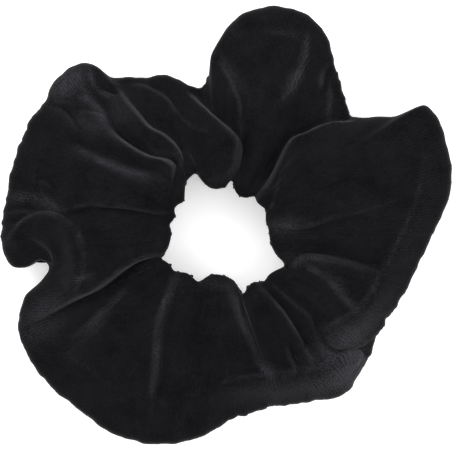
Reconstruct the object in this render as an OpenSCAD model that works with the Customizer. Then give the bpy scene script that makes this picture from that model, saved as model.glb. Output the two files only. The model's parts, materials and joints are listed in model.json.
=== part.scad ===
// Velvet scrunchie: a long velvet tube gathered over a loop of flat elastic.
// The tube lies flat on its underside, with the hair opening along +Z.
// The one-piece tube is drawn as two halves that part along X when the loop is stretched.

/* [Opening] */
// Diameter of the hair opening with the elastic relaxed
opening_d = 23; // [20:0.5:26]
// Height of the straight wall where the velvet wraps the elastic
opening_wall_h = 6; // [4:0.5:8]

/* [Velvet tube] */
// Size of the ruffle's outline against its usual size
ruffle_scale = 1; // [0.9:0.01:1.1]
// Height of the gathered tube above the table
tube_h = 25; // [20:0.5:30]
// Thickness of the velvet wall
velvet_t = 1.2; // [0.8:0.1:1.6]
// Width of the sewn-in allowance behind the long seam
allowance_w = 7.5; // [5:0.5:10]
// Height of the pleats on the upper side
pleat_h = 1.4; // [0:0.1:2]
// Number of pleats round the ruffle
pleat_count = 19; // [12:1:26]
// Half of the gap between the two halves at rest
half_gap = 0.3; // [0.2:0.05:0.5]

/* [Elastic] */
// Inside diameter of the relaxed elastic loop
elastic_d = 33; // [31:0.5:36]
// Width of the flat elastic
elastic_w = 6; // [4:0.5:8]
// Thickness of the flat elastic
elastic_t = 1; // [0.8:0.1:1.2]
// Angle over which the elastic's two ends lap
lap_angle = 42; // [30:1:50]
// Where the lap is centred
lap_at = 150; // [120:1:170]
// Zigzag stitches along each row of the lap
zigzag_count = 7; // [4:1:9]

/* [Thread] */
// Thickness of the sewing thread
thread_d = 0.5; // [0.4:0.05:0.7]
// Where the seam that joins the tube's two ends crosses the ruffle
cross_seam_at = 203; // [195:1:215]

/* [Hidden] */

velvet = [0.07, 0.07, 0.08];
elastic_black = [0.13, 0.13, 0.14];
thread_black = [0.10, 0.10, 0.11];

opening_r = opening_d / 2;
// Height of the elastic's middle above the table
loop_z = 11;
seam_z = 7;
// Radius at which the velvet tube starts, behind the straight wall of the opening
tube_r = opening_r + 0.7;
slices = 90;
slice_step = 360 / slices;
big = 100;
// The ruffle's outline round the opening, as [angle, radius]
outline = [[0, 54], [10, 59], [20, 61.5], [30, 62], [36, 57], [41, 45], [48, 47], [58, 54],
           [68, 60], [78, 59.5], [88, 52], [97, 38.5], [108, 42], [120, 46.5], [129, 56],
           [140, 58], [150, 57.5], [165, 56], [180, 56.5], [190, 52], [197, 52], [208, 58.5],
           [220, 59], [235, 58], [250, 56.5], [262, 53], [275, 47.5], [288, 46], [300, 49.5],
           [310, 51], [320, 49], [332, 47], [344, 50], [352, 51.5]];

// The tube's section as [share of the way from the opening to the outline, share of tube_h]
section = [[0, 0.32], [0.04, 0.16], [0.12, 0.04], [0.22, 0], [0.80, 0], [0.93, 0.07],
           [1, 0.26], [0.98, 0.42], [0.88, 0.58], [0.70, 0.78], [0.50, 0.94], [0.34, 1],
           [0.18, 0.94], [0.06, 0.76], [0, 0.56]];

// Cubic through four neighbours, from the second to the third as t goes from 0 to 1
function cubic(p0, p1, p2, p3, t) =
    0.5 * (2 * p1 + (p2 - p0) * t + (2 * p0 - 5 * p1 + 4 * p2 - p3) * t * t
           + (3 * p1 - p0 - 3 * p2 + p3) * t * t * t);

// Number of the outline point at or before an angle
function outline_before(a) = max([for (i = [0:len(outline) - 1]) if (outline[i][0] <= a) i]);

// Radius of the outline at an angle from 0 to 360
function outline_r(a) =
    let (n = len(outline),
         i = outline_before(a),
         a1 = outline[i][0],
         a2 = i == n - 1 ? 360 : outline[i + 1][0],
         r = [for (k = [i - 1:i + 2]) outline[(k + n) % n][1]])
    ruffle_scale * cubic(r[0], r[1], r[2], r[3], (a - a1) / (a2 - a1));

// Point of the outline at an angle, and the unit normal that leads out of the ruffle there
function rim_point(a) = outline_r((a + 720) % 360) * [cos(a), sin(a)];
function rim_normal(a) = let (t = rim_point(a + 1) - rim_point(a - 1)) [t[1], -t[0]] / norm(t);

// The ruffle's outermost points, slice by slice
rim = [for (i = [0:slices - 1]) rim_point(i * slice_step)];
// The origin is under the middle of the ruffle's box, so the hair opening lies a little off it
opening_x = -(max([for (p = rim) p[0]]) + min([for (p = rim) p[0]])) / 2;
opening_y = -(max([for (p = rim) p[1]]) + min([for (p = rim) p[1]])) / 2;

// How far the pleats lift the upper side at a share f of the way out
function pleat(a, f, up) =
    up < 0.5 ? 0 : pleat_h * sin(pleat_count * a) * sin(180 * min(1, max(0, f))) * (2 * up - 1);

// Point of the outline moved straight towards the opening by inset
function inside_rim(a, inset) = (outline_r((a + 720) % 360) - inset) * [cos(a), sin(a)];

// A point of the tube, moved inwards from its surface by in
function tube_point(a, s, in) =
    let (start = (tube_r + in) * [cos(a), sin(a)],
         end = rim_point(a) - in * rim_normal(a),
         flat = start + s[0] * (end - start),
         mid = tube_h / 2,
         z = mid + (s[1] * tube_h - mid + pleat(a, s[0], s[1])) * (1 - in / mid))
    [flat[0], flat[1], z];

// Closed ring swept through every section round the opening
module swept_ring(sections) {
    n = len(sections);
    m = len(sections[0]);
    points = [for (ring = sections) for (p = ring) p];
    faces = [for (i = [0:n - 1]) for (j = [0:m - 1])
                let (a = i * m + j, b = i * m + (j + 1) % m,
                     c = ((i + 1) % n) * m + (j + 1) % m, d = ((i + 1) % n) * m + j)
                each [[a, b, c], [a, c, d]]];
    polyhedron(points = points, faces = faces);
}

// The velvet tube as a solid, its surface moved inwards by in
module tube_solid(in) {
    swept_ring([for (i = [0:slices - 1]) [for (s = section) tube_point(i * slice_step, s, in)]]);
}

// The hollow inside of the velvet, with the sewn allowance left standing in it
module tube_hollow() {
    difference() {
        tube_solid(velvet_t);
        swept_ring([for (i = [0:slices - 1])
            [for (p = [[allowance_w, -velvet_t], [-1, -velvet_t], [-1, velvet_t], [allowance_w, velvet_t]])
                let (flat = inside_rim(i * slice_step, p[0])) [flat[0], flat[1], seam_z + p[1]]]]);
    }
}

// The straight wall where the velvet is drawn round the elastic
module opening_wall() {
    translate([0, 0, loop_z - opening_wall_h / 2])
        difference() {
            cylinder(r = tube_r + velvet_t / 2, h = opening_wall_h, $fn = 96);
            translate([0, 0, -1])
                cylinder(r = opening_r, h = opening_wall_h + 2, $fn = 96);
        }
}

// One half of the velvet tube; side is -1 on the left and 1 on the right
module cover_half(side) {
    color(velvet)
        intersection() {
            union() {
                difference() {
                    tube_solid(0);
                    tube_hollow();
                }
                opening_wall();
            }
            translate([side > 0 ? half_gap : -half_gap - big, -big, -1])
                cube([big, 2 * big, tube_h + 10]);
        }
}

// Flat elastic bent into a ring, its free end lapped over its start
module elastic_loop() {
    r = elastic_d / 2;
    color(elastic_black)
        translate([0, 0, loop_z - elastic_w / 2])
            union() {
                difference() {
                    cylinder(r = r + elastic_t, h = elastic_w, $fn = 120);
                    translate([0, 0, -1])
                        cylinder(r = r, h = elastic_w + 2, $fn = 120);
                }
                rotate([0, 0, lap_at - lap_angle / 2])
                    rotate_extrude(angle = lap_angle, $fn = 120)
                        translate([r + elastic_t, 0])
                            square([elastic_t, elastic_w]);
            }
}

// Straight length of thread between two points
module thread_run(from, to, d) {
    v = to - from;
    length = norm(v);
    translate(from)
        rotate([0, acos(v[2] / length), atan2(v[1], v[0])])
            cylinder(d = d, h = length, $fn = 16);
}

// Two rows of zigzag through the lap of the elastic
module elastic_lap_stitches() {
    r = elastic_d / 2 + 2 * elastic_t + thread_d / 4;
    row_h = elastic_w * 0.32;
    stitch_angle = lap_angle * 0.8 / zigzag_count;
    start = lap_at - lap_angle * 0.4;
    color(thread_black)
        for (row = [-1, 1], i = [0:zigzag_count - 1]) {
            a1 = start + i * stitch_angle;
            a2 = a1 + stitch_angle * 0.86;
            z = loop_z + row * elastic_w * 0.24;
            up = i % 2 == 0 ? 0.5 : -0.5;
            thread_run([r * cos(a1), r * sin(a1), z - up * row_h],
                       [r * cos(a2), r * sin(a2), z + up * row_h], thread_d);
        }
}

// Eight-sided thread swept along an open run of points
module thread_sweep(points, d) {
    sides = 8;
    n = len(points);
    rings = [for (i = [0:n - 1])
        let (t = points[min(i + 1, n - 1)] - points[max(i - 1, 0)],
             out = [t[1], -t[0], 0] / norm([t[0], t[1]]))
        [for (k = [0:sides - 1])
            points[i] + d / 2 * (cos(k * 360 / sides) * out + sin(k * 360 / sides) * [0, 0, 1])]];
    polyhedron(
        points = [for (ring = rings) for (p = ring) p],
        faces = concat(
            [[for (k = [0:sides - 1]) k]],
            [for (i = [0:n - 2]) for (k = [0:sides - 1])
                let (a = i * sides + k, b = i * sides + (k + 1) % sides)
                each [[a, a + sides, b + sides], [a, b + sides, b]]],
            [[for (k = [sides - 1:-1:0]) (n - 1) * sides + k]]));
}

// Thread of the long seam, on the allowance just inside the outline
module long_seam_thread(side) {
    inset = velvet_t + 2;
    first = side > 0 ? -88 : 92;
    run = [for (a = [first:4:first + 176])
        let (flat = inside_rim(a, inset)) [flat[0], flat[1], seam_z + velvet_t]];
    color(thread_black)
        thread_sweep(run, thread_d);
}

// Thread of the short seam that closes the tube's two ends into a ring, just under the velvet
module cross_seam_thread() {
    in = velvet_t * 0.7;
    color(thread_black)
        rotate([0, 0, cross_seam_at])
            rotate([90, 0, 0])
                linear_extrude(thread_d, center = true)
                    difference() {
                        polygon([for (s = section) section_point(s, in)]);
                        polygon([for (s = section) section_point(s, in + thread_d)]);
                    }
}

// A point of the section in its own plane, moved inwards by in
function section_point(s, in) =
    let (p = tube_point(cross_seam_at, s, in)) [norm([p[0], p[1]]), p[2]];

module place() {
    translate([opening_x, opening_y, 0])
        children();
}

place() cover_half(-1);  // cover_left_half
place() cover_half(1);  // cover_right_half
place() elastic_loop();
place() elastic_lap_stitches();
place() long_seam_thread(-1);  // long_seam_thread_left
place() long_seam_thread(1);  // long_seam_thread_right
place() cross_seam_thread();
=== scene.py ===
import json
import math

import bpy
import numpy as np
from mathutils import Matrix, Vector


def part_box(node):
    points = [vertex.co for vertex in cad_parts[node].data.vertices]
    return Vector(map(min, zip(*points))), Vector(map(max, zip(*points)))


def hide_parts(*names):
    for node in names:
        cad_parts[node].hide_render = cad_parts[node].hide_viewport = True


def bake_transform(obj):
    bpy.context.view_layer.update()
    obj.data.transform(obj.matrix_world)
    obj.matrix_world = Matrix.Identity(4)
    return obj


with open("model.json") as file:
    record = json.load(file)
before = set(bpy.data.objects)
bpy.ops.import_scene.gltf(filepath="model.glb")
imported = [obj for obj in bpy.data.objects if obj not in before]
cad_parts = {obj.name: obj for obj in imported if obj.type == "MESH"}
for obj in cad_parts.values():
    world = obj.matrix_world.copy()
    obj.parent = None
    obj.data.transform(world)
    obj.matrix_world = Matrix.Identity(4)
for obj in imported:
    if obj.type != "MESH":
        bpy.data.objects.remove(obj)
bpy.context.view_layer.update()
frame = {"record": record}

# Camera: it looks straight down on the scrunchie, which lies flat on a table. The lens is long, so that the
# rim and the crown of the ruffle show at nearly the same scale. Its view is as wide as given at the level
# given, both in metres.
SCENE = bpy.context.scene
LENS = 200.0
SENSOR = 36.0
VIEW_MIDDLE = (0.00034, -0.00058)
VIEW_WIDTH = 0.1157
VIEW_LEVEL = 0.009
distance = VIEW_WIDTH * LENS / SENSOR
camera_data = bpy.data.cameras.new("camera")
camera_data.lens = LENS
camera_data.sensor_width = SENSOR
camera_data.clip_start = 0.01
camera_data.clip_end = 5.0
camera = bpy.data.objects.new("camera", camera_data)
camera.location = (*VIEW_MIDDLE, VIEW_LEVEL + distance)
SCENE.collection.objects.link(camera)
SCENE.camera = camera

# Velvet cover: one strip of ribbed velvet, sewn along its length into a tube and gathered over the elastic.
# Its long seam runs round the ruffle's outer edge, with the raw edges turned to the inside of the tube.
MM = 0.001
OPENING = np.array(next(m for m in frame["record"]["mounts"] if m["name"] == "hair_loop")["pos_m"][:2])
# The strip's flat size in metres, and its seam allowance and the velvet's thickness in millimetres
STRIP_LENGTH = 0.405
STRIP_WIDTH = 0.112
ALLOWANCE = 7.0
CLOTH = 1.0

# Outline of the ruffle from the middle of the opening, anticlockwise, in millimetres
OUTLINE = np.array([
    (58.5, 12), (58.5, 18), (57, 24.5), (54.9, 29.8), (51.7, 32.9), (48.5, 31.8), (45.5, 29.9), (39.8, 29.8),
    (33.2, 29.8), (32, 34), (30.2, 39), (28.8, 44), (26.6, 51.4), (21, 56.3), (13.8, 57.9), (10, 57.3),
    (6, 56.1), (1.7, 52.7), (-1.4, 47.8), (-3, 44), (-2.8, 40.8), (-3.9, 38.2), (-6.2, 37), (-11.3, 39.5),
    (-14.5, 40.4), (-19, 39.8), (-24, 39.8), (-28.3, 39.8), (-31.4, 42.6), (-35.3, 43.5), (-39.5, 41.8),
    (-43.3, 37.5), (-44.6, 34), (-48.5, 29), (-49.5, 26.3), (-51.6, 22), (-53.6, 15.3), (-54.8, 8.4),
    (-55.9, 1), (-55.7, -3.5), (-54.2, -7.5), (-51.4, -9), (-48.4, -8.7), (-44.6, -7.8), (-43.3, -9.6),
    (-46.4, -12.7), (-49.4, -15.4), (-51.6, -20.5), (-51.6, -25), (-49.7, -30.3), (-46, -36), (-40.8, -41.4),
    (-34.7, -46.1), (-28.8, -50.3), (-22.4, -52.7), (-15.6, -53.7), (-8.8, -53), (-2, -50.4), (3.2, -47.3),
    (10, -45), (13.4, -44), (20.2, -43.2), (26.2, -42.4), (31.3, -41), (34.7, -36.8), (36.4, -33.4),
    (38.1, -30.8), (40, -25.7), (42.6, -21.4), (46.6, -15.6), (50.6, -7.2), (54, -0.2), (57.1, 6.5)])
# Edge of the hair opening, the same way
OPENING_EDGE = np.array([
    (12.3, 0.3), (11.7, 3.3), (11.5, 6), (9.7, 7.8), (8.2, 9.5), (6.9, 9), (5.1, 9.3), (3.6, 10.7),
    (2.7, 13.3), (1, 12), (-1.3, 11.6), (-3.3, 12.3), (-4.9, 13.5), (-6.3, 15.6), (-7.7, 14.6), (-9, 13.1),
    (-9.3, 11), (-9.7, 8.4), (-11.3, 7.5), (-12.1, 6.4), (-11.9, 4.6), (-12.3, 3.3), (-13.2, 2.3),
    (-12.9, 0.8), (-13.1, -1.3), (-13.8, -3.8), (-15.1, -6.1), (-13.8, -7.2), (-12.8, -8.4), (-12, -9.7),
    (-8.9, -10.1), (-7.2, -11), (-5.5, -11.9), (-3.8, -11), (-1.8, -10.5), (0.8, -10.9), (2.8, -11.8),
    (4.1, -13), (4.9, -14.8), (5.6, -15.6), (6.7, -14), (7.9, -12.8), (9.5, -12.4), (11, -12.3),
    (12.5, -10.7), (14.3, -9.5), (16.4, -8), (14.6, -5.9), (13, -2.8)])
# Height of the ruffle round the opening, as (angle in degrees, millimetres)
HEIGHTS = np.array([(0, 22), (40, 23), (55, 19), (80, 21), (105, 18), (130, 24), (165, 22), (200, 24),
                    (225, 20), (262, 22), (300, 21), (330, 22)], float)
OUTLINE_STEPS = 1600


def loop_spline(points, count):
    """Closed Catmull-Rom curve through points, as count rows: each a cubic blend of its four neighbours."""
    n = len(points)
    at = np.arange(count) * n / count
    i = at.astype(int)
    t = (at - i)[:, None]
    p0, p1, p2, p3 = (points[(i + k) % n] for k in (-1, 0, 1, 2))
    return 0.5 * (2 * p1 + (p2 - p0) * t + (2 * p0 - 5 * p1 + 4 * p2 - p3) * t ** 2
                  + (3 * p1 - p0 - 3 * p2 + p3) * t ** 3)


def polar_radius(points, angles):
    """Distance from the middle to a closed outline in each direction, read off its spline by linear steps.
    Where the outline turns back, its direction is held, with a very small rise to keep the order."""
    curve = loop_spline(points, OUTLINE_STEPS)
    a = np.unwrap(np.arctan2(curve[:, 1], curve[:, 0]))
    a = np.maximum.accumulate(a) + np.arange(OUTLINE_STEPS) * 1e-7
    r = np.hypot(curve[:, 0], curve[:, 1])
    three_turns = np.concatenate([a - 2 * np.pi, a, a + 2 * np.pi])
    return np.interp(angles, three_turns, np.tile(r, 3))


def open_spline(points, count):
    """Catmull-Rom curve through points with its ends repeated, as count rows from end to end."""
    padded = np.vstack([points[:1], points, points[-1:]])
    at = np.linspace(0, len(points) - 1, count)
    i = np.minimum(at.astype(int), len(points) - 2)
    t = (at - i)[:, None]
    p0, p1, p2, p3 = (padded[i + k] for k in range(4))
    return 0.5 * (2 * p1 + (p2 - p0) * t + (2 * p0 - 5 * p1 + 4 * p2 - p3) * t ** 2
                  + (3 * p1 - p0 - 3 * p2 + p3) * t ** 3)


# Folds on the upper side: route, depth at both ends, and how far the cloth to the left and right of the route
# rounds down into it, in millimetres. The narrow side laps over the wide one.
FOLDS = [
    # between the top lobe and the right lobe, which laps over it
    ([(8, 9), (12, 14), (15, 20), (18, 25), (23, 27.5), (27.5, 29.6), (33, 30)], 4, 4, 10, 1.8),
    ([(28.6, 37.6), (29.3, 34.8), (28.8, 32), (27.4, 29.8)], 1.4, 2, 2.5, 1.5),
    # right lobe
    ([(11.5, 6), (13, 11), (15, 16), (19, 22)], 1.6, 0.2, 4, 1.2),
    ([(11.5, 1.5), (18, 0.7), (24, 1.7), (30, 3.5), (37, 5), (47, 8.4)], 2, 0.4, 1.4, 6),
    # lower right
    ([(16.5, -8), (20, -5), (25.5, -5), (31, -6), (36, -7.3), (41, -8.6)], 3.5, 1.8, 5, 2.5),
    ([(22, -7), (27, -10), (30.5, -14), (35, -18.5)], 1.8, 1.6, 5, 2.5),
    ([(13, -12), (19, -17), (22.5, -20), (25, -26), (27.5, -31.5)], 1.5, 1.2, 3.5, 1.4),
    ([(9.5, -12), (16, -19), (19.5, -24.5), (22.5, -29.5), (25, -34.5)], 3, 1.5, 4.5, 1.5),
    ([(4.5, -15), (5.5, -20.5), (8, -26), (10, -31), (13, -35.5)], 4, 2.5, 7, 2.4),
    ([(-5.5, -11.5), (-6.2, -18), (-6.3, -26), (-6.5, -40)], 5, 0.6, 6, 7),
    ([(-11.3, -10.5), (-13.3, -17), (-15.2, -22.5), (-16, -30), (-17, -42.7)], 2.8, 1.8, 5, 1.8),
    ([(17.4, -28), (18.6, -31.5), (19.8, -34)], 1.2, 1.6, 2.5, 1.2),
    ([(-22, -14), (-26, -18), (-32, -24), (-38, -28.5)], 0.8, 2, 4, 3),
    # left side
    ([(-13, 4.2), (-18, 4.7), (-24, 6), (-32.5, 6.5), (-37.5, 5.5), (-41, 5), (-46, 9)], 2.6, 1.8, 6, 1.6),
    ([(-46.8, 15.5), (-46.9, 11), (-46.6, 6.5)], 1, 1, 1.4, 1.4),
    ([(-56, 6), (-51, 6.6), (-46.9, 6.2)], 1.6, 1, 1.4, 1.4),
    ([(-56, 2.5), (-53, 3), (-50.5, 4)], 1.2, 0.8, 1.4, 1.4),
    ([(-17, 15.6), (-24.5, 17.6), (-31, 20), (-37, 23.5)], 2, 1.6, 2.5, 5),
    ([(-11.5, 12.5), (-11, 17), (-14, 19.5), (-18, 20.3), (-22, 22.4), (-25.5, 24.8), (-27.8, 27),
      (-28.8, 29.5), (-30, 32), (-32, 34), (-33.8, 36.5), (-34.8, 39.5), (-36.5, 43)], 5, 1.8, 1.8, 5),
    ([(-27.5, 36), (-30, 37), (-31.8, 38.6), (-32.4, 42)], 1.6, 1.6, 1.3, 2.5),
    ([(-30.5, 30.9), (-33.3, 31.6), (-36.2, 31.8)], 1.4, 0.8, 1.2, 1.4),
    ([(-34.8, 33), (-37, 34.2), (-40, 34.6), (-45, 34.8)], 1.2, 1.8, 2, 1.8),
    ([(-36, 26.8), (-38.2, 30.2), (-40.8, 32.3), (-44.8, 33.4)], 1.4, 1.6, 1.2, 1.5),
    ([(-42, 11.5), (-44.7, 13.9), (-48, 14)], 0.9, 0.9, 1.3, 2),
    ([(-9, 15.5), (-10, 21), (-13.5, 25.5), (-18, 28), (-21, 31.5), (-23.5, 34.5), (-25.7, 37.5)],
     3.5, 2, 1.8, 8),
    ([(-3, 26.4), (-5.5, 27.4), (-8.5, 29), (-11, 31.5), (-13, 34.5), (-16.5, 37.3), (-20.5, 38.8),
      (-24.5, 38.6)], 0.5, 1.4, 1.5, 5),
    ([(3, 13), (5, 17), (5.7, 22), (4.5, 25.5), (0, 30.5), (-5, 35.5), (-6.5, 37)], 6, 4, 3, 8),
    # top lobe
    ([(5.8, 21), (5.9, 29), (5.5, 34), (3, 40.2), (0, 45)], 2.5, 2, 2, 7),
    ([(14.5, 34.5), (17, 37.6), (20.2, 42.8), (21.2, 46.8), (20.4, 50)], 1.6, 1.6, 5, 1.6),
    ([(28.8, 43.4), (27.4, 41.5), (26.9, 39.5), (26.7, 37.6)], 1.4, 1.2, 1.3, 1.3),
]
# Folds that cross the flange: at the lower right corner, where it turns under itself, at the cross seam, and
# at the notch on the left, where it curls
TURNS = [
    ([(25.4, -26), (26.8, -28.6), (31.5, -30.4), (36.2, -30.1), (40, -27.8)], 0.8, 4, 2, 1.6),
    ([(35.4, -30.8), (37.6, -30.8), (39.5, -30.4)], 2, 5, 1.4, 2),
    # cross seam, where one end of the tube laps over the other
    ([(-15, -5.7), (-20, -7), (-25, -10), (-31, -14.5), (-38.5, -18), (-45, -21.5), (-51.5, -25.5)],
     4, 4, 9, 1.5),
    ([(-50, -1.2), (-47.3, -2.8), (-45.2, -4.6), (-44.2, -7)], 1, 2, 2, 3),
]
# Raised edges on the upper side, where the flange stands proud or the allowance shows through: route, height
# at both ends, and how far it falls off to its left and right
RIDGES = [
    ([(-1.1, -40.1), (2.3, -37.6), (6, -37.2), (9.3, -36.9), (11.9, -35.9), (14, -36.5), (17, -36.2),
      (21.5, -35.1), (24.3, -35.5), (27.2, -33.7), (29.8, -31.7), (32.3, -30.8), (35, -30.9), (36.8, -32.3)],
     1.4, 3, 1.4, 8),
    ([(53.3, 22), (52.1, 15.3), (50, 6.7), (44, -6), (40.6, -11.2), (38.1, -16.3), (34, -20.5), (29, -23.2),
      (25.8, -25.6)], 0.7, 2.6, 8, 1.5),
    ([(-55, -3.5), (-52.5, 0), (-48.8, 3.4), (-44.7, 4.3), (-40.6, 3.2), (-37.4, 0.8), (-35.8, -3),
      (-35.5, -7), (-36, -11), (-38.5, -15)], 1.7, 1.7, 1.6, 6),
    ([(-41.2, -30.8), (-34.3, -35), (-27.5, -40.1), (-18.1, -42.7), (-12.2, -44.8), (-7.9, -41.8),
      (-1.1, -40.1)], 0.5, 0.5, 0.9, 5),
    ([(-0.3, 49.3), (3.2, 51.5), (9.1, 52.7), (15.1, 52.5), (19.3, 50.6), (21.5, 48.5), (21.2, 45.1),
      (19.8, 40.8), (17.6, 37.4)], 0.4, 1, 5, 1.2),
]
# The first three bound the flange, which stands up as a band along the rim
BANDS = RIDGES[:3]
FOLD_STEPS = 24
RIDGE_STEPS = 40
# Where the long seam is puckered, as (angle in degrees, share of the pucker)
PUCKER = np.array([(-360, 0.1), (-320, 0.1), (-316, 0.8), (-306, 0.8), (-300, 0.15), (-268, 0.1), (-264, 0.8),
                   (-260, 0.6), (-256, 0.15), (-218, 0.1), (-212, 0.6), (-205, 0.6), (-198, 0.2), (-182, 0.6),
                   (-175, 0.2), (-160, 0.35), (-120, 0.1), (-95, 0.15), (-87, 0.6), (-75, 0.6), (-65, 0.2),
                   (-40, 0.2), (-30, 0.6), (-20, 0.5), (-12, 0.1), (0, 0.1)])


def nearest_on_curve(x, y, curve):
    """For each point, its distance to a polyline, the share of the way along at its nearest place, and its
    side: one on the left and minus one on the right, from the sign of a cross product."""
    best = np.full(x.shape, 1e9)
    along = np.zeros(x.shape)
    side = np.ones(x.shape)
    n = len(curve) - 1
    for k in range(n):
        start = curve[k]
        d = curve[k + 1] - start
        px = x - start[0]
        py = y - start[1]
        t = np.clip((px * d[0] + py * d[1]) / (d @ d), 0, 1)
        gap = np.hypot(px - t * d[0], py - t * d[1])
        near = gap < best
        best = np.where(near, gap, best)
        along = np.where(near, (k + t) / n, along)
        side = np.where(near, np.sign(d[0] * py - d[1] * px), side)
    return best, along, side


def fold_depth(folds, x, y):
    """Depth of the folds at each point. Either side of a fold rounds down into it as one minus a sine
    over that side's width, and where folds meet their depths add as a cubic norm."""
    total = np.zeros(x.shape)
    for points, depth_in, depth_out, left, right in folds:
        curve = open_spline(np.array(points, float), FOLD_STEPS)
        reach = max(left, right)
        low = curve.min(0) - reach
        high = curve.max(0) + reach
        near = (x > low[0]) & (x < high[0]) & (y > low[1]) & (y < high[1])
        gap, along, side = nearest_on_curve(x[near], y[near], curve)
        width = np.where(side > 0, left, right)
        q = np.clip(gap / width, 0, 1)
        depth = depth_in + (depth_out - depth_in) * along
        total[near] += (depth * (1 - np.sin(q * np.pi / 2))) ** 3
    return total ** (1 / 3)


def eased(share):
    """A share from 0 to 1 eased at both ends: three times its square less twice its cube."""
    return share * share * (3 - 2 * share)


def on_band(x, y, inner):
    """One on the flange bands, easing to nothing over the given distance on their inner side and over two
    millimetres past the end of their wide side."""
    total = np.zeros(x.shape)
    for points, _, _, left, right in BANDS:
        gap, _, side = nearest_on_curve(x, y, open_spline(np.array(points, float), RIDGE_STEPS))
        past = np.clip((max(left, right) + 2 - gap) / 2, 0, 1)
        share = np.where((side > 0) == (left > right), past, np.clip(1 - gap / inner, 0, 1))
        total = np.maximum(total, eased(share))
    return total


def ripple(along, across, waves, seed):
    """Smooth irregular ripples about one high: ten sines added up, each with a random direction and phase,
    and with a random length about the given one."""
    dice = np.random.default_rng(seed)
    total = np.zeros(np.broadcast(along, across).shape)
    for _ in range(10):
        k_along, k_across = dice.normal(0, 1, 2) / waves * 2 * np.pi
        total = total + np.sin(along * k_along + across * k_across + dice.uniform(0, 2 * np.pi))
    return total / 10 ** 0.5


# The tube's grid: rows on the upper side and underneath, columns round the ring, and the finer steps round
# the ring at which the outlines are read
ROWS_TOP = 76
ROWS_BELOW = 38
COLUMNS = 600
FINE = 2400
fine_angle = np.arange(FINE) * 2 * np.pi / FINE


def smooth_round(values, width):
    """Values round the ring, averaged with a Gaussian of that width in degrees."""
    k = np.fft.rfftfreq(FINE, 1 / FINE)
    return np.fft.irfft(np.fft.rfft(values) * np.exp(-0.5 * (k * np.radians(width)) ** 2), FINE)


def by_angle(table):
    """A table of (angle, value) read at every fine angle, by linear steps, and smoothed a little."""
    a = np.radians(table[:, 0])
    turns = np.concatenate([a - 2 * np.pi, a, a + 2 * np.pi, a + 4 * np.pi])
    order = np.argsort(turns, kind="stable")
    return smooth_round(np.interp(fine_angle, turns[order], np.tile(table[:, 1], 4)[order]), 2)


# The opening's edge is laid a little inside its outline, because folds and its height widen it from above.
# The rim is laid a little outside, because it lies low and rounding draws it in.
EDGE_SCALE = 0.965
RIM_SCALE = 1.0065
RIM_OUT = 0.2
RIM_RADIUS = 50
PUCKER_DEPTH = 0.18
PUCKER_LENGTH = 4.5
edge_r = smooth_round(polar_radius(OPENING_EDGE, fine_angle), 0.6) * EDGE_SCALE
pucker = by_angle(PUCKER)
puckered = PUCKER_DEPTH * pucker * ripple(fine_angle * RIM_RADIUS, 0, PUCKER_LENGTH, 5)
rim_r = smooth_round(polar_radius(OUTLINE, fine_angle), 0.4) * RIM_SCALE + RIM_OUT + puckered
inner_r = smooth_round(rim_r, 9)
height = by_angle(HEIGHTS)

# Sections of the tube, the upper side from the opening to the seam and the underside back to the opening:
# share of the way out, share of the height
UPPER = np.array([(.01, .45), (.008, .6), (0, .74), (0, .84), (.035, .94), (.12, 1), (.3, .98), (.5, .88),
                  (.68, .71), (.82, .55), (.93, .43), (.98, .36), (1, .27)])
LOWER = np.array([(1, .27), (.985, .17), (.93, .09), (.8, .03), (.6, .015), (.4, .015), (.22, .03), (.1, .1),
                  (.03, .2), (.015, .32), (.01, .45)])
TUBE_ACROSS = 40
TUBE_HIGH = 22


def section_rows(points, rows):
    """Shares of the section at equal steps of its length, for a tube of the usual width and height."""
    curve = open_spline(points, 400)
    step = np.hypot(np.diff(curve[:, 0]) * TUBE_ACROSS, np.diff(curve[:, 1]) * TUBE_HIGH)
    at = np.concatenate([[0], np.cumsum(step)])
    want = np.linspace(0, at[-1], rows)
    return np.stack([np.interp(want, at, curve[:, k]) for k in (0, 1)], 1)


# Pleats in the wall of the opening, gathers underneath, and the lowest that the cloth lies over the table
PLEATS = 24
PLEAT_DEPTH = 3.6
GATHERS = 20
GATHER_DEPTH = 10
LOWEST = 0.1
# Ripples all over the cloth run outwards: their length is measured round the ring at this radius, and
# stretched by this much on the way out
RIPPLE_RADIUS = 60
RIPPLE_STRETCH = 3


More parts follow.
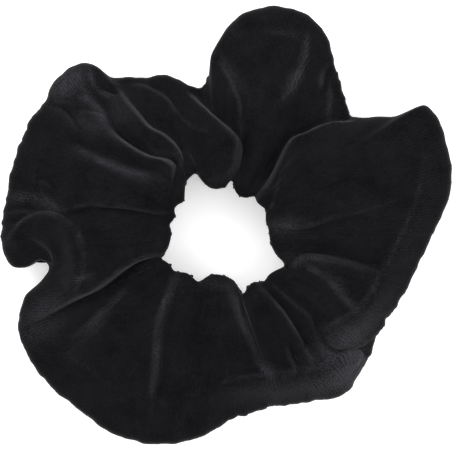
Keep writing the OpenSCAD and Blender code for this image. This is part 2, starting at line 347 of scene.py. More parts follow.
def build_side(section, below):
    """One side of the tube on the fine grid: rows from the section, columns round the opening. The rim is
    evened out on the way in. The surface is set back along its own normal by the folds above or by the
    gathers below, which are one less the power 0.7 of an uneven sine's size, and by ripples, which are finer
    where the seam is puckered. Squared sines pleat the wall of the opening."""
    s = np.clip(section[:, :1], 0, 1)
    h = section[:, 1:]
    rim = inner_r + (rim_r - inner_r) * s ** 5
    r = edge_r + s * (rim - edge_r)
    z = h * height
    across = np.gradient(section[:, 0])[:, None] * (rim - edge_r)
    up = np.gradient(section[:, 1])[:, None] * height
    length = np.hypot(across, up)
    n_r = -up / length
    n_z = across / length
    x = r * np.cos(fine_angle)
    y = r * np.sin(fine_angle)
    if below:
        uneven = 0.8 * np.sin(fine_angle * 3) + 0.4 * np.sin(fine_angle * 7 + 1)
        waves = np.abs(np.sin(fine_angle * GATHERS / 2 + uneven))
        depth = GATHER_DEPTH * (1 - waves ** 0.7) * np.clip((s - 0.04) / 0.36, 0, 1) * (1 - s) ** 0.5
    else:
        depth = np.maximum(fold_depth(FOLDS, x, y) * (1 - 0.9 * on_band(x, y, 3)), fold_depth(TURNS, x, y))
        depth = depth * (0.15 + 0.85 * np.clip(s / 0.25, 0, 1)) * (1 - s ** 12)
    arc = fine_angle * RIPPLE_RADIUS
    out = s * TUBE_ACROSS / RIPPLE_STRETCH
    depth = depth + 0.2 * ripple(arc, out, 14, 3) * np.clip(s / 0.2, 0, 1)
    depth = depth + pucker * 0.3 * ripple(arc, out, 3, 8) * np.exp(-(1 - s) / 0.1)
    wall = np.clip((0.8 - h) / 0.3, 0, 1) * np.clip((h - 0.1) / 0.2, 0, 1) * np.clip(1 - s / 0.05, 0, 1)
    pleated = PLEAT_DEPTH * np.sin(fine_angle * PLEATS / 2 + np.sin(fine_angle * 5)) ** 2
    r = r - n_r * depth + eased(wall) * pleated
    z = z - n_z * depth
    return np.stack([r * np.cos(fine_angle), r * np.sin(fine_angle), np.maximum(z, LOWEST)], 2)


upper = build_side(section_rows(UPPER, ROWS_TOP), False)
lower = build_side(section_rows(LOWER, ROWS_BELOW), True)
tube = np.concatenate([upper, lower[1:-1]], 0)
# The grid's columns shift round the ring only within one of these
SECTORS = 12


def spread_columns(rows, columns):
    """Each row's points moved along it to equal steps of its length within a sector, as cloth's ribs lie."""
    step = np.linalg.norm(np.roll(rows, -1, axis=1) - rows, axis=2)
    ends = np.arange(SECTORS + 1) * FINE // SECTORS
    share = np.array([step[:, ends[k]:ends[k + 1]].sum() for k in range(SECTORS)])
    stops = np.round(np.concatenate([[0], np.cumsum(share)]) / share.sum() * columns).astype(int)
    closed = np.concatenate([rows, rows[:, :1]], 1)
    out = np.zeros((len(rows), columns, 3))
    for i, row in enumerate(closed):
        at = np.concatenate([[0], np.cumsum(step[i])])
        want = np.interp(np.arange(columns), stops, at[ends])
        out[i] = np.stack([np.interp(want, at, row[:, k]) for k in range(3)], 1)
    return out


grid = spread_columns(tube, COLUMNS)
# Settling: the extra length gathered in next to the opening, above and below, and the number of rounds
GATHERED = 0.5
GATHERED_BELOW = 1.2
ROUNDS = 160
# How firmly the cloth keeps its laid shape, its stiffness round the ring, how many times that is near the
# opening, its stiffness across the ring, and the furthest that a point moves in millimetres
HOLD = 0.003
STIFF_ROUND = 0.25
STIFFER_INSIDE = 30
STIFF_ACROSS = 5.0
CAP = 4.0
# The row at the crown of the tube, which hardly moves, and the rows on either side that follow it
CROWN_ROW = 12
CROWN_SPREAD = 4.0
out_share = np.concatenate([np.linspace(0, 1, ROWS_TOP), np.linspace(1, 0, ROWS_BELOW)[1:-1]])


def pull(first, second, rest):
    """Moves two sets of joined points along their joins, half each, towards the joins' rest lengths."""
    gap = second - first
    length = np.linalg.norm(gap, axis=-1, keepdims=True)
    step = 0.4 * (1 - rest[..., None] / np.maximum(length, 1e-9)) * gap
    first += step
    second -= step


def evened(shape, stiffer):
    """A sheet's response to a move of each wave number, for a grid of that shape: one over the sum of one,
    its hold, and the fourth powers of the wave numbers round the ring and across it times its stiffness."""
    wave_across = 2 * np.pi * np.fft.fftfreq(shape[0])[:, None]
    wave_round = 2 * np.pi * np.fft.rfftfreq(shape[1])[None, :]
    bending = stiffer * STIFF_ROUND * wave_round ** 4 + STIFF_ACROSS * wave_across ** 4
    return (1 / (1 + HOLD + bending))[..., None]


def settle(start):
    """Lets the cloth take up its gathered length. In each round the move away from the laid shape is evened
    out as a stiff sheet would do it, stiffer near the opening, and kept within a cap. Then the joins between
    neighbours go towards their rest lengths in turn, and no point stays too low or inside the opening. Moves
    fade out at the seam and at the crown."""
    n, m = start.shape[:2]
    soft = evened((n, m), 1)
    stiff = evened((n, m), STIFFER_INSIDE)
    inner = np.clip(1 - out_share / 0.25, 0, 1)[:, None, None]
    crown = np.exp(-((np.arange(n) - CROWN_ROW) / CROWN_SPREAD) ** 2)
    free = (np.clip((1 - out_share) / 0.2, 0, 1) * (1 - 0.95 * crown))[:, None, None]
    more = 1 + GATHERED * (1 - out_share[:, None]) ** 3
    more[ROWS_TOP:] = 1 + GATHERED_BELOW * (1 - out_share[ROWS_TOP:, None]) ** 1.5
    rest_round = np.linalg.norm(np.roll(start, -1, axis=1) - start, axis=2) * more
    rest_across = np.linalg.norm(np.roll(start, -1, axis=0) - start, axis=2)
    move = np.random.default_rng(11).normal(0, 0.3, start.shape)
    for _ in range(ROUNDS):
        waves = np.fft.rfft2(move, axes=(0, 1))
        move = np.fft.irfft2(waves * soft, (n, m), axes=(0, 1)) * (1 - inner)
        move = (move + np.fft.irfft2(waves * stiff, (n, m), axes=(0, 1)) * inner) * free
        size = np.maximum(np.linalg.norm(move, axis=2, keepdims=True), 1e-9)
        points = start + move * np.minimum(1, CAP / size)
        for parity in (0, 1):
            points = np.roll(points, -parity, axis=1)
            pull(points[:, 0::2], points[:, 1::2], np.roll(rest_round, -parity, axis=1)[:, 0::2])
            points = np.roll(points, parity, axis=1)
            points = np.roll(points, -parity, axis=0)
            pull(points[0::2], points[1::2], np.roll(rest_across, -parity, axis=0)[0::2])
            points = np.roll(points, parity, axis=0)
        points[..., 2] = np.maximum(points[..., 2], LOWEST)
        radius = np.hypot(points[..., 0], points[..., 1])
        angle = np.arctan2(points[..., 1], points[..., 0])
        edge = np.interp(angle, fine_angle, edge_r, period=2 * np.pi)
        points[..., :2] *= (np.maximum(radius, edge) / radius)[..., None]
        move = points - start
    return points


SMALL_SECTORS = 480
EVENED_DEPTH = 3


def even_opening(points):
    """Evens the opening's outline: the innermost radius of each small sector goes to its average over about a
    degree, and the move dies out over the next millimetres of cloth."""
    radius = np.hypot(points[..., 0], points[..., 1])
    angle = np.arctan2(points[..., 1], points[..., 0]) % (2 * np.pi)
    sector = (angle * SMALL_SECTORS / (2 * np.pi)).astype(int) % SMALL_SECTORS
    inmost = np.full(SMALL_SECTORS, 1e9)
    np.minimum.at(inmost, sector, radius)
    middles = (np.arange(SMALL_SECTORS) + 0.5) * 2 * np.pi / SMALL_SECTORS
    outline = np.interp(fine_angle, middles, inmost, period=2 * np.pi)
    move = np.interp(angle, fine_angle, smooth_round(outline, 1.1) - outline, period=2 * np.pi)
    inside = radius - np.interp(angle, fine_angle, outline, period=2 * np.pi)
    share = np.clip(1 - inside / EVENED_DEPTH, 0, 1)
    points[..., :2] *= (1 + move * share / radius)[..., None]
    return points


laid = grid[:ROWS_TOP].copy()
grid = even_opening(settle(grid))
# The notch on the left, which cuts in under the lobe above it, as an outline given by direction can't
NOTCH = (-46.3, -8.8)
NOTCH_SIZE = 2.3
NOTCH_LIFT = 1.7


def lift_notch(points):
    """Moves the cloth round the notch along Y, by a Gaussian of the distance from the notch."""
    gap = np.hypot(points[..., 0] - NOTCH[0], points[..., 1] - NOTCH[1])
    points[..., 1] += NOTCH_LIFT * np.exp(-(gap / NOTCH_SIZE) ** 2)
    return points


laid_seam = grid[ROWS_TOP - 1].copy()
grid = lift_notch(grid)
# Share of a route over which it tapers at either end
TAPER = 0.08


def ridge_height(x, y):
    """Height of the ridges at each point: the square of one less the squared share of the way down either
    side, tapered at both ends of the route."""
    total = np.zeros(x.shape)
    for points, start_height, end_height, left, right in RIDGES:
        curve = open_spline(np.array(points, float), RIDGE_STEPS)
        gap, along, side = nearest_on_curve(x, y, curve)
        q = np.clip(gap / np.where(side > 0, left, right), 0, 1)
        taper = np.clip(np.minimum(along, 1 - along) / TAPER, 0, 1)
        crest = start_height + (end_height - start_height) * along
        total = np.maximum(total, crest * (1 - q * q) ** 2 * taper)
    return total


def normals_of(points):
    """Outward normals of the closed grid, from the cross product of its two central differences."""
    d_round = np.roll(points, -1, axis=1) - np.roll(points, 1, axis=1)
    d_across = np.roll(points, -1, axis=0) - np.roll(points, 1, axis=0)
    n = np.cross(d_across, d_round)
    return n / np.maximum(np.linalg.norm(n, axis=2, keepdims=True), 1e-12)


top = slice(0, ROWS_TOP)
# Ridges and the painted highlight on the crests die out at the seam
fade = (1 - out_share[top] ** 10)[:, None]
grid[top] += (ridge_height(grid[top][..., 0], grid[top][..., 1]) * fade)[..., None] * normals_of(grid)[top]
normals = normals_of(grid)


def ring_faces(points, first, outward=True):
    """Faces of a grid closed both ways, numbered from first. The sign of the volume they hold turns them."""
    n, m = points.shape[:2]
    i, j = np.meshgrid(np.arange(n), np.arange(m), indexing="ij")
    here = i * m + j
    beside = i * m + (j + 1) % m
    below = (i + 1) % n * m + j
    corner = (i + 1) % n * m + (j + 1) % m
    quads = np.stack([here, below, corner, beside], 2).reshape(-1, 4)
    p = points.reshape(-1, 3)[quads]
    volume = np.einsum("ij,ij->", p.mean(1), np.cross(p[:, 2] - p[:, 0], p[:, 3] - p[:, 1]))
    return (quads if (volume > 0) == outward else quads[:, ::-1]) + first


def ring_uv(quads, first, n, m, length, width):
    """Cloth co-ordinates in metres at each face corner: along the strip, and across it from the opening."""
    i = (quads - first) // m
    j = (quads - first) % m
    i = np.where((i == 0) & (i.max(1, keepdims=True) == n - 1), n, i)
    j = np.where((j == 0) & (j.max(1, keepdims=True) == m - 1), m, j)
    return np.stack([j * length / m, i * width / n], 2)


def allowance_strip(side):
    """One turned-in edge of the strip: a flat loop with an oblong section, lying inwards from the seam by the
    velvet's thickness and the allowance, just above the middle or just below it."""
    seam = laid_seam[::2]
    inwards = -seam * (1, 1, 0) / np.hypot(seam[:, :1], seam[:, 1:2])
    stops = CLOTH + np.array([0, 2.4, 4.7, ALLOWANCE])
    reach = np.concatenate([stops, stops[::-1]])[:, None, None]
    rise = np.repeat([0.5, -0.5], len(stops))[:, None] * 0.9 * CLOTH + side * 0.5 * CLOTH
    strip = seam + inwards * reach
    strip[..., 2] += rise
    return lift_notch(strip)


# The velvet's two faces and its two turned-in edges, each with the way that its faces point
back = (grid - normals * CLOTH)[::2, ::2]
back[..., 2] = np.maximum(back[..., 2], 2 * LOWEST)
walls = [(grid, True), (back, False), (allowance_strip(1), True), (allowance_strip(-1), True)]
verts = []
faces = []
uvs = []
first = 0
for points, outward in walls:
    quads = ring_faces(points, first, outward)
    n, m = points.shape[:2]
    uvs.append(ring_uv(quads, first, n, m, STRIP_LENGTH, STRIP_WIDTH - 2 * ALLOWANCE * MM))
    verts.append(points.reshape(-1, 3))
    faces.append(quads)
    first += n * m


def placed(points):
    """Millimetres from the opening's middle to metres in the frame."""
    return points * MM + np.array([OPENING[0], OPENING[1], 0])


def new_piece(name, points, quads, material, uv=None):
    """A smooth mesh object at the origin, with its material and, if given, its cloth co-ordinates."""
    mesh = bpy.data.meshes.new(name)
    mesh.from_pydata(placed(points).tolist(), [], list(quads))
    mesh.polygons.foreach_set("use_smooth", np.ones(len(quads), bool))
    if uv is not None:
        mesh.uv_layers.new(name="cloth").data.foreach_set("uv", uv.reshape(-1))
    mesh.materials.append(material)
    piece = bpy.data.objects.new(name, mesh)
    SCENE.collection.objects.link(piece)
    return piece


# Painted sheen: lighter patches painted where brushed-up pile and steep slopes catch the light: middle (two
# numbers), half length, half width, direction in degrees, amount
PAINTED_SHEEN_PATCHES = [
    (31.5, -27.5, 8, 4, 30, 2.4), (45, -6, 16, 3, 60, 0.35), (-45, -21.5, 8, 4.5, 45, 1.8),
    (-39.3, 38.8, 6, 3.5, 45, 2.6), (-31.5, 31.5, 7, 1.4, 122, 1.6), (-35, 34, 1.4, 0.9, 130, 1.6),
    (-33.2, 39.8, 2.5, 0.9, 105, 1.6), (-30, 35.4, 2.6, 0.7, 155, 1), (-26.5, 31, 4, 4, 0, 0.7),
    (-33, 27.5, 6, 2.5, 160, 0.8), (-44, 7.6, 3.8, 1.5, 144, 1.5), (-28, 17.6, 9, 1.5, 155, 1.3),
    (-51, 9.2, 4, 1.4, 0, 1.3), (-20, 14.8, 6, 1.5, 165, 0.7), (17.3, 38, 5, 1.8, 60, 0.8),
    (2.2, 41.5, 6, 1.3, 120, 1.3), (15.5, 2, 5, 2.2, 5, 1.4), (4.2, -18, 6, 1.5, 110, 1.5),
    (8, -26, 8, 1, 113, 1.3), (-1.5, -12.5, 4, 1.6, 170, 0.9), (-13.5, -17, 7, 1.1, 70, 2.2),
    (-16, -31, 10, 0.9, 84, 2.1), (-32, -23.3, 8, 1.6, 45, 1.2), (22, -6.5, 8, 2, 175, 0.9),
    (31, -15, 7, 1.4, 128, 1), (-1, 13.2, 4, 1.8, 10, 0.9), (40, -20, 8, 3, 55, 0.6),
    (-15, 20.3, 5, 1.2, 175, 1), (-37.5, -9, 1.2, 9, 15, 0.5), (12.5, -35, 3, 1.2, 110, 1),
    (21.2, 46, 4.5, 0.9, 78, 1.6), (18.5, 39, 3.4, 1.7, 62, 1.6), (16.5, 51.2, 5, 0.8, 172, 0.8),
    (25.6, 39.5, 2.5, 0.8, 82, 1.2), (27.6, 33, 4, 0.8, 88, 1.2), (-34.8, -11.2, 2.6, 0.7, 18, 1.3)]
# Painted sheen on the flange bands only, the same way
PAINTED_BAND_SHEEN = [(34, -35, 5, 5, 40, 4.5), (28, -38, 8, 5, 10, 1.6), (15, -40, 14, 5, 5, 0.7)]
# Where the painted highlight on the crests is held back, the same way
HELD_BACK_CREST_HIGHLIGHT = [(-15, 27, 13, 4, 135, 0.5), (1, 29, 10, 4, 130, 0.5), (17, 22, 11, 4, 55, 0.7),
               (27, 29, 8, 3, 20, 0.6), (22, -22, 9, 5, 125, 0.3), (-36.6, -0.5, 2.5, 1.5, 90, 0.7)]
# The amount of painted highlight on the crests, the narrowest that it is shown, and the widest side that
# still counts as sharp
CREST_AMOUNT = 1.3
CREST_NARROWEST = 1.8
CREST_WIDEST = 3.5
# How fast a patch falls off, and the height over which patches fade in above the underside
PATCH_FALL = 1.2
PATCHES_FROM = 3


def soft_patches(table, points):
    """A sum of soft oval patches at each point, on the upper side only: each falls off as the exponential of
    minus its distance squared, measured in its own half length and half width."""
    total = np.zeros(points.shape[:-1])
    for x, y, half_length, half_width, turn, amount in table:
        c = math.cos(math.radians(turn))
        s = math.sin(math.radians(turn))
        dx = points[..., 0] - x
        dy = points[..., 1] - y
        along = (dx * c + dy * s) / half_length
        across = (dy * c - dx * s) / half_width
        total += amount * np.exp(-PATCH_FALL * (along ** 2 + across ** 2))
    return total * np.clip((points[..., 2] - PATCHES_FROM) / PATCHES_FROM, 0, 1)


def painted_crest_highlight(routes, x, y):
    """Painted highlight over the crests, in place of the sheen where the cloth turns down into a fold: the
    square of four times q times one less q down the narrow side of each sharp route, where q is the share of
    the way down. It is in full where the route is two or more deep, and tapered at both ends."""
    total = np.zeros(x.shape)
    for points, depth_in, depth_out, left, right in routes:
        gap, along, side = nearest_on_curve(x, y, open_spline(np.array(points, float), FOLD_STEPS))
        width = max(min(left, right), CREST_NARROWEST)
        q = np.clip(gap / width, 0, 1) * ((side > 0) == (left < right)) * (width < CREST_WIDEST)
        depth = np.clip((depth_in + (depth_out - depth_in) * along) / 2, 0, 1)
        depth = depth * np.clip(np.minimum(along, 1 - along) / TAPER, 0, 1)
        total = np.maximum(total, (4 * q * (1 - q)) ** 2 * depth)
    return total


def new_material(name, roughness, specular):
    """A Principled material, its node tree and its shader, with an even roughness and specular level."""
    material = bpy.data.materials.new(name)
    material.use_nodes = True
    shader = material.node_tree.nodes["Principled BSDF"]
    shader.inputs["Roughness"].default_value = roughness
    shader.inputs["Specular IOR Level"].default_value = specular
    return material, material.node_tree, shader


def add_node(tree, kind, inputs=(), **settings):
    """A node of that kind with its settings, and each input either linked from a socket or given a value."""
    node = tree.nodes.new(kind)
    for key, value in settings.items():
        setattr(node, key, value)
    for socket, value in inputs:
        if isinstance(value, bpy.types.NodeSocket):
            tree.links.new(value, node.inputs[socket])
        else:
            node.inputs[socket].default_value = value
    return node


# Pile: broad uneven patches, fine tufts, and ribs that follow the strip, lightened towards the light colour
# by the painted sheen and crest highlights of the cover's attribute. Where that painted sheen is, the tufts
# and ribs show more.
RIB_PITCH = 0.00085
DARK_PILE = (0.0016, 0.0016, 0.0022, 1)
# The light colour serves both the pile's uneven tone and the painted sheen and crest highlights
LIGHT_PILE_AND_SHEEN = (0.0275, 0.027, 0.031, 1)
velvet, tree, shader = new_material("black ribbed velvet", 0.85, 0.024)
shader.inputs["Sheen Weight"].default_value = 0.085
shader.inputs["Sheen Roughness"].default_value = 0.35
place = add_node(tree, "ShaderNodeTexCoord").outputs["Object"]
cloth = add_node(tree, "ShaderNodeUVMap", uv_map="cloth").outputs["UV"]
# Painted sheen and crest highlights, read from the cover's vertex attribute
painted_sheen_value = add_node(tree, "ShaderNodeAttribute", attribute_name="painted_sheen").outputs["Fac"]
patches = add_node(tree, "ShaderNodeTexNoise", [("Vector", place), ("Scale", 130.0), ("Detail", 6.0),
                                                ("Roughness", 0.75)])
tufts = add_node(tree, "ShaderNodeTexNoise", [("Vector", place), ("Scale", 2600.0), ("Detail", 2.0)])
along = add_node(tree, "ShaderNodeSeparateXYZ", [(0, cloth)]).outputs["X"]
turns = add_node(tree, "ShaderNodeMath", [(0, along), (1, 2 * math.pi / RIB_PITCH)], operation="MULTIPLY")
ribs = add_node(tree, "ShaderNodeMath", [(0, turns.outputs[0])], operation="SINE").outputs[0]
grain = add_node(tree, "ShaderNodeMath", [(0, tufts.outputs["Fac"]), (1, 2.8), (2, -0.7)],
                 operation="MULTIPLY_ADD")
ribbed = add_node(tree, "ShaderNodeMath", [(0, ribs), (1, 0.2), (2, grain.outputs[0])],
                  operation="MULTIPLY_ADD")
sheen_grain = add_node(tree, "ShaderNodeMath", [(0, painted_sheen_value), (1, ribbed.outputs[0])], operation="MULTIPLY")
mixed = add_node(tree, "ShaderNodeMath", [(0, patches.outputs["Fac"]), (1, 1.1), (2, sheen_grain.outputs[0])],
                 operation="MULTIPLY_ADD")
pile_and_sheen = add_node(tree, "ShaderNodeMath", [(0, ribbed.outputs[0]), (1, 0.4), (2, mixed.outputs[0])],
                operation="MULTIPLY_ADD")
shade = add_node(tree, "ShaderNodeMapRange", [("Value", pile_and_sheen.outputs[0]), ("From Min", 0.45),
                                              ("From Max", 3.6)])
tint = add_node(tree, "ShaderNodeMix", [(0, shade.outputs[0]), (6, DARK_PILE), (7, LIGHT_PILE_AND_SHEEN)],
                data_type="RGBA")
tree.links.new(tint.outputs[2], shader.inputs["Base Color"])
relief = add_node(tree, "ShaderNodeMath", [(0, ribs), (1, 0.25), (2, tufts.outputs["Fac"])],
                  operation="MULTIPLY_ADD")
bump = add_node(tree, "ShaderNodeBump", [("Height", relief.outputs[0]), ("Strength", 0.5),
                                         ("Distance", 0.00012)])
tree.links.new(bump.outputs["Normal"], shader.inputs["Normal"])

cover_points = np.concatenate(verts)
cover = new_piece("velvet_cover", cover_points, np.concatenate(faces), velvet, np.concatenate(uvs))
# Painted sheen and crest highlights: lighter colour painted on the velvet's upper side where it would catch
# the light, kept as a vertex attribute
shown = soft_patches(PAINTED_SHEEN_PATCHES, cover_points)
crests = painted_crest_highlight(FOLDS + TURNS, laid[..., 0], laid[..., 1])
crests = np.maximum(crests, painted_crest_highlight(RIDGES, grid[top][..., 0], grid[top][..., 1]))
# The painted crest highlight is uneven along the crests
uneven = (0.75 + 0.35 * ripple(laid[..., 0], laid[..., 1], 9, 21)) * (1 - soft_patches(HELD_BACK_CREST_HIGHLIGHT, laid))
# Painted sheen on the flange bands
band_sheen_painted = soft_patches(PAINTED_BAND_SHEEN, laid) * on_band(laid[..., 0], laid[..., 1], 0.8)
shown[:crests.size] += (CREST_AMOUNT * crests * uneven * fade + band_sheen_painted).reshape(-1)
cover.data.attributes.new("painted_sheen", "FLOAT", "POINT").data.foreach_set("value", shown)
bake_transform(cover)
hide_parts("cover_left_half", "cover_right_half")

# Elastic: a braided band of rubber cords under black yarn, closed to a ring by lapping its ends. It lies
# loose in the tube, on edge round the opening, and the cover is gathered over it.
band_low, band_high = np.array(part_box("elastic_loop"))[:, 2] / MM
BAND_WIDTH = band_high - band_low
# Its thickness, its distance from the opening's edge and its mean radius, in millimetres
BAND_THICK = 1.0
BAND_CLEARANCE = 5.6
BAND_RADIUS = 17
# The lap's middle and length, and where the outer end begins and ends its step out, in degrees round the ring
LAP_MIDDLE = 150.0
LAP = 42.0
STEP_START = 340
STEP_LENGTH = 19
LAP_LAYER = 1.06 * BAND_THICK
CORD_PITCH = 1.2
CORD_SWELL = 0.07
BRAID_PITCH = 1.1
BRAID_SWELL = 0.05
STATIONS = 720
SECTION_POINTS = 56
band_r = smooth_round(edge_r, 10) + BAND_CLEARANCE
turn = np.radians(np.linspace(LAP_MIDDLE - LAP / 2, LAP_MIDDLE + LAP / 2 + 360, STATIONS))


def lap_offset(angle):
    """The outer end of the band steps out by about its own thickness, eased over a stretch before the lap."""
    past = np.degrees(angle) - LAP_MIDDLE + LAP / 2
    return LAP_LAYER * eased(np.clip((past - STEP_START) / STEP_LENGTH, 0, 1))


def band_radius(angle):
    """Middle of the band's thickness at each angle, following the opening's edge at a fixed clearance."""
    return np.interp(angle, fine_angle, band_r, period=2 * np.pi) + lap_offset(angle)


def band_section(angle):
    """Rounded section of the band: a flat superellipse whose faces swell over each cord, and over each
    crossing of the braid as a sine along the band, in turn on neighbouring cords."""
    a = np.arange(SECTION_POINTS) * 2 * np.pi / SECTION_POINTS
    z = BAND_WIDTH / 2 * np.sign(np.cos(a)) * np.abs(np.cos(a)) ** 0.35
    x = BAND_THICK / 2 * np.sign(np.sin(a)) * np.abs(np.sin(a)) ** 0.5
    face = np.sign(x) * np.abs(np.sin(a)) ** 0.5
    cord = CORD_SWELL * np.cos(z * 2 * np.pi / CORD_PITCH) * face
    along = (angle * BAND_RADIUS)[:, None] * 2 * np.pi / BRAID_PITCH
    braid = BRAID_SWELL * np.sin(along + np.pi * np.round(z / CORD_PITCH)) * face
    return x + cord + braid, z + np.zeros_like(along)


def strip_faces(n, m):
    """Faces of an open-ended tube of n rings with m points each, with a flat face at either end."""
    i, j = np.meshgrid(np.arange(n - 1), np.arange(m), indexing="ij")
    quads = np.stack([i * m + j, i * m + (j + 1) % m, (i + 1) * m + (j + 1) % m, (i + 1) * m + j], 2)
    ends = [list(range(m))[::-1], list(range((n - 1) * m, n * m))]
    return quads.reshape(-1, 4).tolist() + ends


offset, up = band_section(turn)
radius = band_radius(turn)[:, None] + offset
middle_height = (band_low + band_high) / 2
facing = turn[:, None]
band_points = np.stack([radius * np.cos(facing), radius * np.sin(facing), up + middle_height], 2)

elastic_finish, tree, shader = new_material("black braided elastic", 0.6, 0.3)
shader.inputs["Coat Weight"].default_value = 0.05
place = add_node(tree, "ShaderNodeTexCoord").outputs["Object"]
yarn = add_node(tree, "ShaderNodeTexNoise", [("Vector", place), ("Scale", 1800.0), ("Detail", 3.0)])
worn = add_node(tree, "ShaderNodeTexNoise", [("Vector", place), ("Scale", 90.0), ("Detail", 2.0)])
both = add_node(tree, "ShaderNodeMath", [(0, yarn.outputs["Fac"]), (1, worn.outputs["Fac"])],
                operation="MULTIPLY")
tint = add_node(tree, "ShaderNodeMix", [(0, both.outputs[0]), (6, (0.006, 0.006, 0.007, 1)),
                                        (7, (0.06, 0.058, 0.06, 1))], data_type="RGBA")
tree.links.new(tint.outputs[2], shader.inputs["Base Color"])
bump = add_node(tree, "ShaderNodeBump", [("Height", yarn.outputs["Fac"]), ("Strength", 0.5),
                                         ("Distance", 0.0001)])
tree.links.new(bump.outputs["Normal"], shader.inputs["Normal"])
band_faces = strip_faces(STATIONS, SECTION_POINTS)
elastic = new_piece("elastic_band", band_points.reshape(-1, 3), band_faces, elastic_finish)
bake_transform(elastic)
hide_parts("elastic_loop")

# Lap stitches: zigzag rows of polyester thread through both layers of the lapped band, one thread showing on
# the outer face and one on the inner face.
THREAD_RADIUS = 0.16
ZIGZAGS = 13
ZIGZAG_STEPS = 14
ZIGZAG_SHARE = 0.66
ZIGZAG_SIDES = 8
# What the zigzag leaves free at either end of the lap, in degrees, how high the thread stands on the band, as
# a share of its radius, and the depth and share of a stitch of its dips
LAP_END = 3
THREAD_PROUD = 0.8
DIP_DEPTH = 0.35
DIP_SHARE = 0.06


def thread_tube(path, reference):
    """A round tube along a path. Each ring lies square to the path, and its first direction is the cross
    product of the path's direction and a reference direction."""
    ahead = np.gradient(path, axis=0)
    ahead /= np.linalg.norm(ahead, axis=1, keepdims=True)
    side = np.cross(ahead, reference)
    side /= np.linalg.norm(side, axis=1, keepdims=True)
    lift = np.cross(side, ahead)
    a = np.arange(ZIGZAG_SIDES) * 2 * np.pi / ZIGZAG_SIDES
    ring = side[:, None] * np.cos(a)[:, None] + lift[:, None] * np.sin(a)[:, None]
    return (path[:, None] + THREAD_RADIUS * ring).reshape(-1, 3)


def zigzag_path(face):
    """The zigzag on one face: a triangle wave across the band, dipping into it at each turn."""
    t = np.linspace(0, ZIGZAGS, ZIGZAGS * ZIGZAG_STEPS + 1)
    wave = 2 * np.abs((t % 1) - 0.5)
    angle = np.radians(LAP_MIDDLE + (t / ZIGZAGS - 0.5) * (LAP - 2 * LAP_END))
    dip = np.exp(-((0.5 - np.abs(wave - 0.5)) / DIP_SHARE) ** 2)
    across = middle_height + (wave - 0.5) * BAND_WIDTH * ZIGZAG_SHARE
    layer = LAP_LAYER if face > 0 else 0
    r = np.interp(angle, fine_angle, band_r, period=2 * np.pi) + layer
    r = r + face * (BAND_THICK / 2 + THREAD_RADIUS * THREAD_PROUD - DIP_DEPTH * dip)
    outwards = np.stack([np.cos(angle), np.sin(angle), 0 * angle], 1)
    return outwards * r[:, None] + across[:, None] * (0, 0, 1), outwards


thread_finish, tree, shader = new_material("black sewing thread", 0.8, 0.04)
place = add_node(tree, "ShaderNodeTexCoord").outputs["Object"]
twist = add_node(tree, "ShaderNodeTexWave", [("Vector", place), ("Scale", 900.0), ("Distortion", 1.5)])
tint = add_node(tree, "ShaderNodeMix", [(0, twist.outputs["Fac"]), (6, (0.006, 0.006, 0.007, 1)),
                                        (7, (0.012, 0.012, 0.013, 1))], data_type="RGBA")
tree.links.new(tint.outputs[2], shader.inputs["Base Color"])
bump = add_node(tree, "ShaderNodeBump", [("Height", twist.outputs["Fac"]), ("Strength", 0.4),
                                         ("Distance", 0.00005)])
tree.links.new(bump.outputs["Normal"], shader.inputs["Normal"])

points = []
faces = []
for face in (1, -1):
    path, outwards = zigzag_path(face)
    first = sum(len(p) for p in points)
    faces += [[k + first for k in f] for f in strip_faces(len(path), ZIGZAG_SIDES)]
    points.append(thread_tube(path, outwards))
lap_stitches = new_piece("elastic_lap_stitches_thread", np.concatenate(points), faces, thread_finish)
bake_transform(lap_stitches)
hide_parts("elastic_lap_stitches")

# Seam threads: lockstitches of polyester thread. The long row joins the two turned-in edges just inside the
# rim, and the short row joins the tube's two ends across the velvet.
STITCH_PITCH = 2.7
STITCH_LENGTH = 2.1
STITCH_RINGS = 6
STITCH_SIDES = 6
STITCH_SINK = 0.3
STITCH_INSET = 2.2
CROSS_SEAM_ANGLE = 204.5


def row_of_stitches(path, normals_along):
    """Stitches at an even pitch along a closed path: each is a short tube, thinned towards its ends by the
    square root of a sine and pulled into the cloth there."""
    closed = np.vstack([path, path[:1]])
    steps = np.linalg.norm(np.diff(closed, axis=0), axis=1)
    at = np.concatenate([[0], np.cumsum(steps)])
    count = int(at[-1] / STITCH_PITCH)
    middle = (np.arange(count) + 0.5) * at[-1] / count
    along = np.linspace(-0.5, 0.5, STITCH_RINGS) * STITCH_LENGTH
    want = (middle[:, None] + along) % at[-1]
    centre = np.stack([np.interp(want, at, closed[:, k]) for k in range(3)], 2)
    closed_up = np.vstack([normals_along, normals_along[:1]])
    lift = np.stack([np.interp(want, at, closed_up[:, k]) for k in range(3)], 2)
    ahead = np.gradient(centre, axis=1)
    side = np.cross(ahead, lift)
    side /= np.linalg.norm(side, axis=2, keepdims=True)
    swell = np.sqrt(np.sin(np.linspace(0.12, np.pi - 0.12, STITCH_RINGS)))[:, None]
    centre = centre + lift * (swell - 1) * STITCH_SINK
    a = np.arange(STITCH_SIDES) * 2 * np.pi / STITCH_SIDES
    ring = (side[:, :, None] * np.cos(a)[:, None] + lift[:, :, None] * np.sin(a)[:, None])
    points = (centre[:, :, None] + ring * (THREAD_RADIUS * swell)[None, :, :, None]).reshape(-1, 3)
    one = strip_faces(STITCH_RINGS, STITCH_SIDES)
    size = STITCH_RINGS * STITCH_SIDES
    return points, [[v + k * size for v in f] for k in range(count) for f in one]


def stitched_piece(name, rows, *nodes):
    """A thread piece made of one or more rows of stitches."""
    points = []
    faces = []
    first = 0
    for path, normals_along in rows:
        p, f = row_of_stitches(path, normals_along)
        faces += [[v + first for v in one] for one in f]
        points.append(p)
        first += len(p)
    piece = new_piece(name, np.concatenate(points), faces, thread_finish)
    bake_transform(piece)
    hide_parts(*nodes)


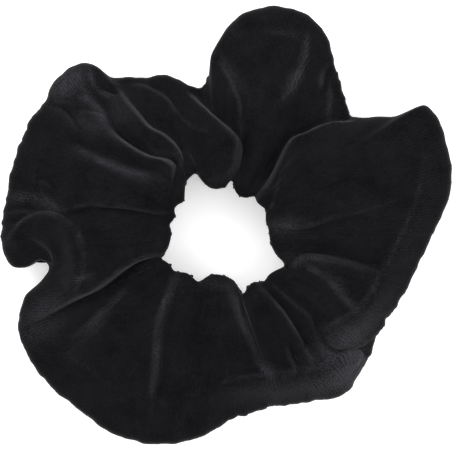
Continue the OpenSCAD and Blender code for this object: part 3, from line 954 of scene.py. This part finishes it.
seam_radius = np.hypot(laid_seam[:, :1], laid_seam[:, 1:2])
inset = lift_notch(laid_seam * (1 - STITCH_INSET / seam_radius) * (1, 1, 0) + laid_seam * (0, 0, 1))
upwards = np.zeros_like(inset) + (0, 0, 1)
stitched_piece("long_seam_thread", [(inset + upwards, upwards), (inset - upwards, -upwards)],
               "long_seam_thread_left", "long_seam_thread_right")
seam_angle = np.degrees(np.arctan2(laid_seam[:, 1], laid_seam[:, 0])) % 360
column = np.argmin(np.abs(seam_angle - CROSS_SEAM_ANGLE))
stitched_piece("cross_seam_stitches", [(grid[:, column], normals[:, column])], "cross_seam_thread")

# Table and lights: a sheet of white paper under the scrunchie, bright enough to lose its own shading, and
# three soft lamps over it, so that the folds shade softly all round.
bpy.ops.mesh.primitive_plane_add(size=3, location=(0, 0, -0.0001))
floor = bpy.context.object
floor.name = "floor"
paper = bpy.data.materials.new("paper")
paper.use_nodes = True
paper_look = paper.node_tree.nodes["Principled BSDF"].inputs
paper_look["Base Color"].default_value = (0.95, 0.95, 0.95, 1)
paper_look["Roughness"].default_value = 0.9
paper_look["Emission Color"].default_value = (1, 1, 1, 1)
paper_look["Emission Strength"].default_value = 0.35
floor.data.materials.append(paper)

world = bpy.data.worlds.new("world")
world.use_nodes = True
world.node_tree.nodes["Background"].inputs["Color"].default_value = (1, 1, 1, 1)
world.node_tree.nodes["Background"].inputs["Strength"].default_value = 0.85
SCENE.world = world
# Name, place, size across and power of each lamp, which faces the middle of the table
LAMPS = [("key", (-0.35, 0.45, 0.5), 0.5, 2.5),
         ("fill", (0.5, -0.1, 0.5), 0.5, 1.5),
         ("top", (0.0, 0.1, 0.9), 1.2, 6.5)]
for name, place, size, power in LAMPS:
    data = bpy.data.lights.new(name, "AREA")
    data.size = size
    data.energy = power
    lamp = bpy.data.objects.new(name, data)
    lamp.location = place
    x, y, z = place
    lamp.rotation_euler = (math.atan2(math.hypot(x, y), z), 0, math.atan2(-y, -x) - math.pi / 2)
    SCENE.collection.objects.link(lamp)
SCENE.view_settings.view_transform = "Standard"
